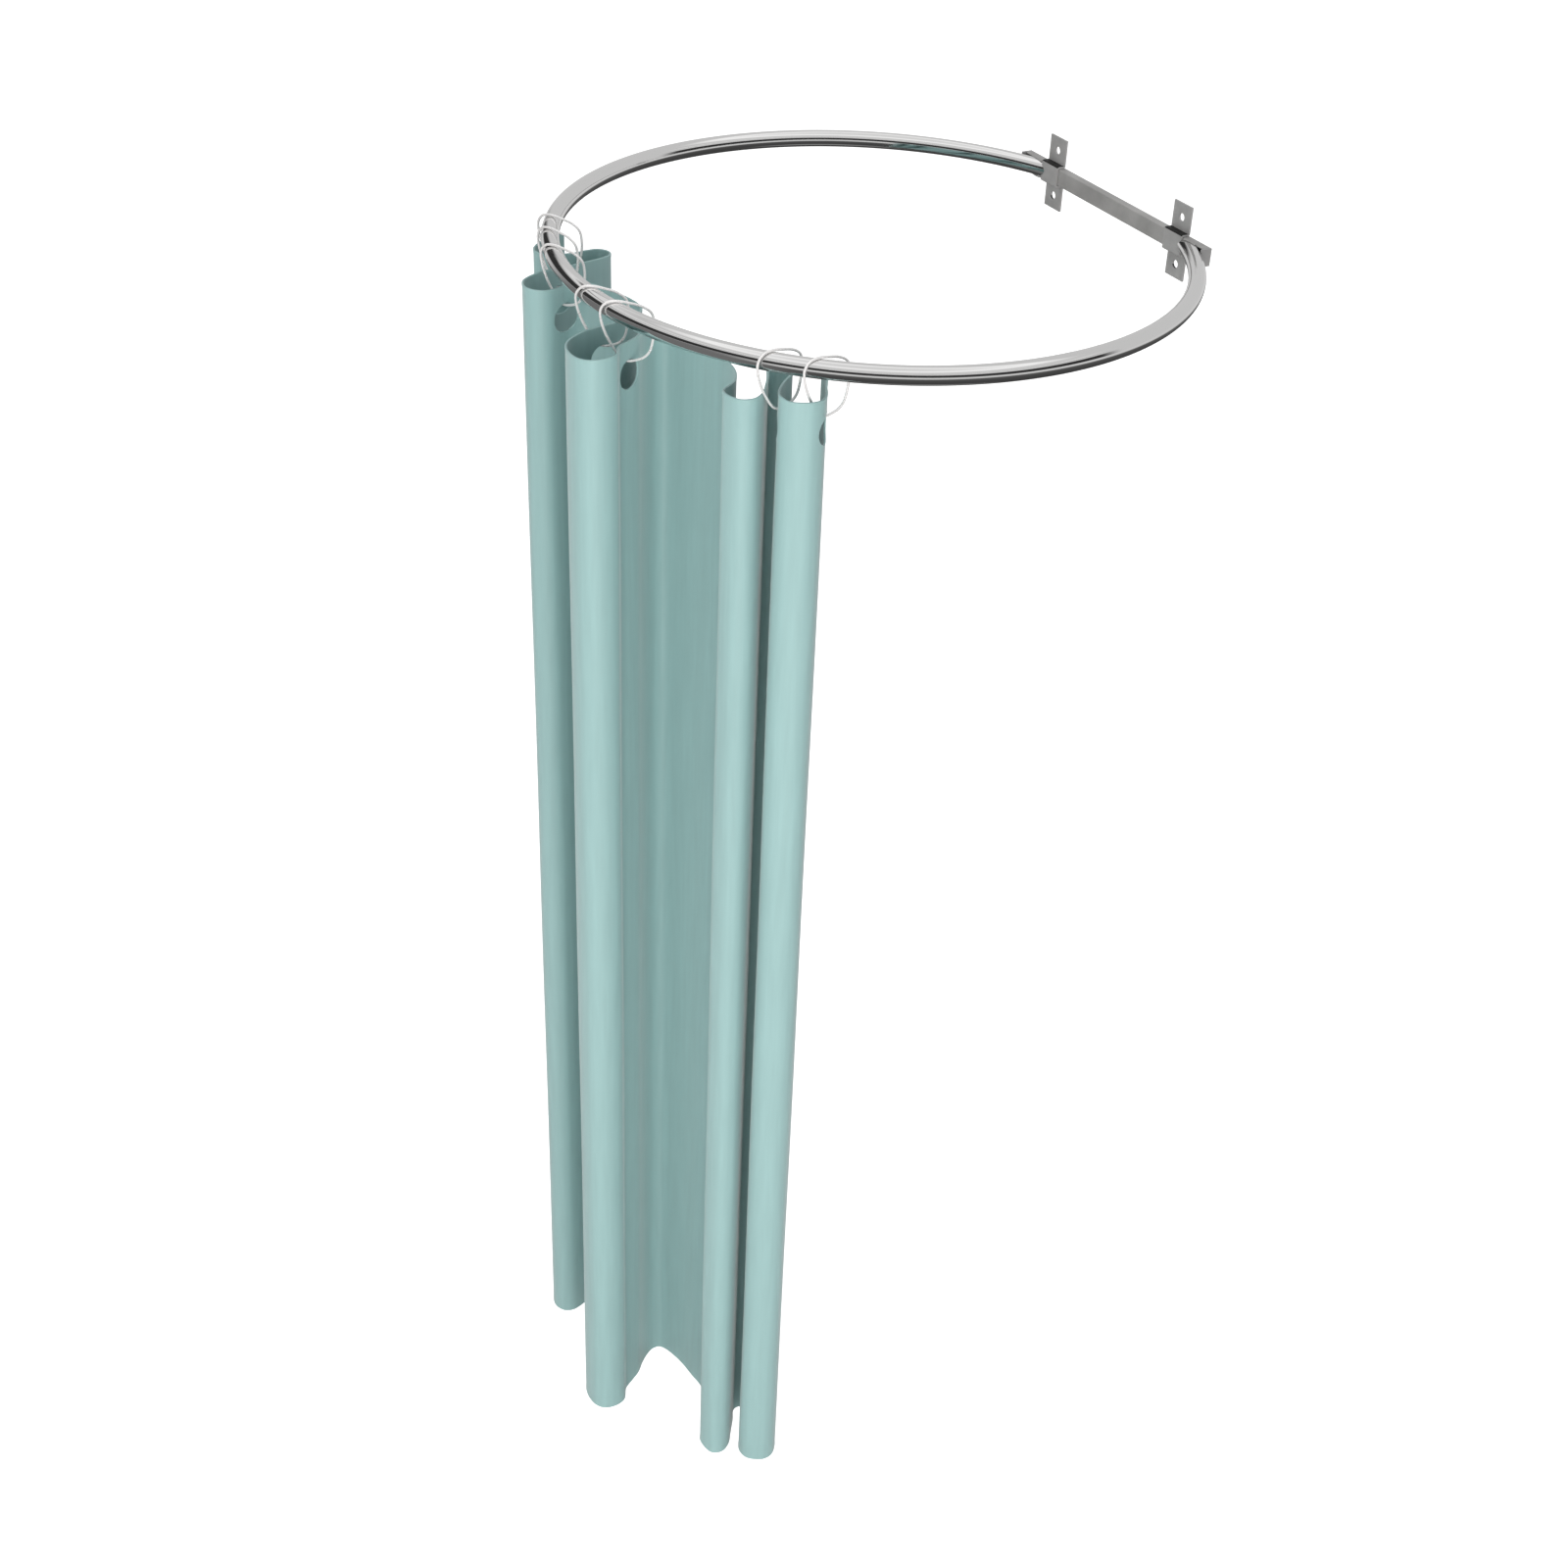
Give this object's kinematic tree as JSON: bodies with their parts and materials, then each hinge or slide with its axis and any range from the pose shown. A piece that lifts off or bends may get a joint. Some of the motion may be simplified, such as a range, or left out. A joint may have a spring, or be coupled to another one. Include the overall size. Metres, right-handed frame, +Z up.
{
  "type": "wall-mounted portable fitting room",
  "caption": "Round chromed rail on a wall bracket, with a hanging cloth curtain that slides round it on wire hooks to close off a changing space.",
  "frame": {"origin": "on the wall's plane, midway between the two wall straps, at the height of the rail tube's centreline", "axes": "+Z up, +Y into the wall, +X to the right for someone in the room who faces the wall"},
  "size_m": [0.9246, 0.9324, 2.0837],
  "materials": {
    "rail_chrome": "polished",
    "bracket_steel": "satin",
    "wire_chrome": "bright",
    "curtain_cloth": "plain weave, matt"
  },
  "bodies": {
    "rail": {"rail_tube": "rail_chrome", "wall_bar": "bracket_steel", "end_plate_left": "bracket_steel", "end_plate_right": "bracket_steel", "wall_strap_left": "bracket_steel", "wall_strap_right": "bracket_steel", "weld_left_upper": "bracket_steel", "weld_left_lower": "bracket_steel", "weld_right_upper": "bracket_steel", "weld_right_lower": "bracket_steel"},
    "hanger_1": {"hook_1": "wire_chrome", "curtain_1": "curtain_cloth"},
    "hanger_2": {"hook_2": "wire_chrome", "curtain_2": "curtain_cloth"},
    "hanger_3": {"hook_3": "wire_chrome", "curtain_3": "curtain_cloth"},
    "hanger_4": {"hook_4": "wire_chrome", "curtain_4": "curtain_cloth"},
    "hanger_5": {"hook_5": "wire_chrome", "curtain_5": "curtain_cloth"},
    "hanger_6": {"hook_6": "wire_chrome", "curtain_6": "curtain_cloth"},
    "hanger_7": {"hook_7": "wire_chrome", "curtain_7": "curtain_cloth"}
  },
  "joints": [
    {"name": "hook_1_slides_on_rail", "type": "hinge", "parent": "rail", "child": "hanger_1", "pos_m": [0, -0.42, 0], "axis": [0, 0, 1], "range_deg": [-110, 0]},
    {"name": "hook_2_slides_on_rail", "type": "hinge", "parent": "hanger_1", "child": "hanger_2", "pos_m": [0, -0.42, 0], "axis": [0, 0, 1], "range_deg": [0, 17]},
    {"name": "hook_3_slides_on_rail", "type": "hinge", "parent": "hanger_2", "child": "hanger_3", "pos_m": [0, -0.42, 0], "axis": [0, 0, 1], "range_deg": [0, 11]},
    {"name": "hook_4_slides_on_rail", "type": "hinge", "parent": "hanger_3", "child": "hanger_4", "pos_m": [0, -0.42, 0], "axis": [0, 0, 1], "range_deg": [0, 11]},
    {"name": "hook_5_slides_on_rail", "type": "hinge", "parent": "hanger_4", "child": "hanger_5", "pos_m": [0, -0.42, 0], "axis": [0, 0, 1], "range_deg": [0, 20]},
    {"name": "hook_6_slides_on_rail", "type": "hinge", "parent": "hanger_5", "child": "hanger_6", "pos_m": [0, -0.42, 0], "axis": [0, 0, 1], "range_deg": [0, 30]},
    {"name": "hook_7_slides_on_rail", "type": "hinge", "parent": "hanger_6", "child": "hanger_7", "pos_m": [0, -0.42, 0], "axis": [0, 0, 1], "range_deg": [0, 5]}
  ]
}
